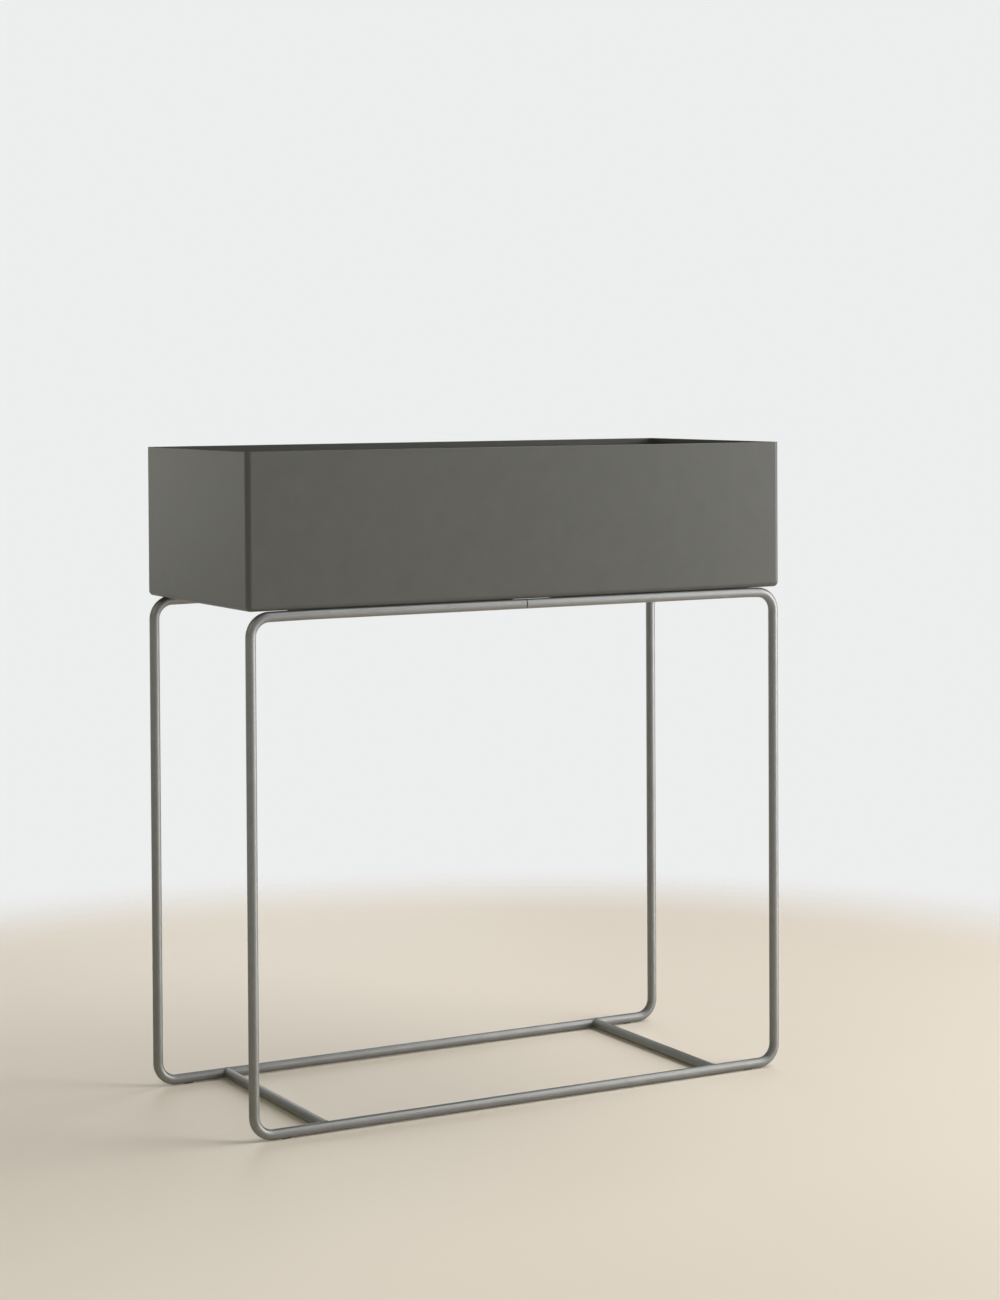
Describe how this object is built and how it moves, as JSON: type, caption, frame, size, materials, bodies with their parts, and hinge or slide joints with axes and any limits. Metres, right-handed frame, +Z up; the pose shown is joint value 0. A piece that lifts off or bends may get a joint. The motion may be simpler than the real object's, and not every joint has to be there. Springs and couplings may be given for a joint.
{
  "type": "raised planter on legs",
  "caption": "Long open sheet-steel planter box fastened on a slim welded frame of round rod, standing on the floor.",
  "frame": {"origin": "on the floor, at the middle of the planter's footprint", "axes": "+Z up; +X along the length of the box, to the right when seen from the front; +Y from the front to the rear"},
  "size_m": [0.6, 0.25, 0.65],
  "materials": {
    "box_coat": "satin",
    "frame_coat": "satin",
    "zinc_steel": "satin",
    "black_rubber": "matte"
  },
  "bodies": {
    "root": {"planter_box": "box_coat", "front_frame_loop": "frame_coat", "rear_frame_loop": "frame_coat", "front_loop_butt_weld": "frame_coat", "rear_loop_butt_weld": "frame_coat", "lower_cross_bar_left": "frame_coat", "lower_cross_bar_right": "frame_coat", "lower_cross_bar_welds": "frame_coat", "upper_mounting_bar_left": "frame_coat", "upper_mounting_bar_right": "frame_coat", "upper_mounting_bar_welds": "frame_coat", "box_mounting_studs": "zinc_steel", "stud_washers": "zinc_steel", "stud_nuts": "zinc_steel", "rubber_spacer_front_left": "black_rubber", "rubber_spacer_front_right": "black_rubber", "rubber_spacer_rear_left": "black_rubber", "rubber_spacer_rear_right": "black_rubber", "floor_glide_front_left": "black_rubber", "floor_glide_front_right": "black_rubber", "floor_glide_rear_left": "black_rubber", "floor_glide_rear_right": "black_rubber"}
  },
  "joints": []
}
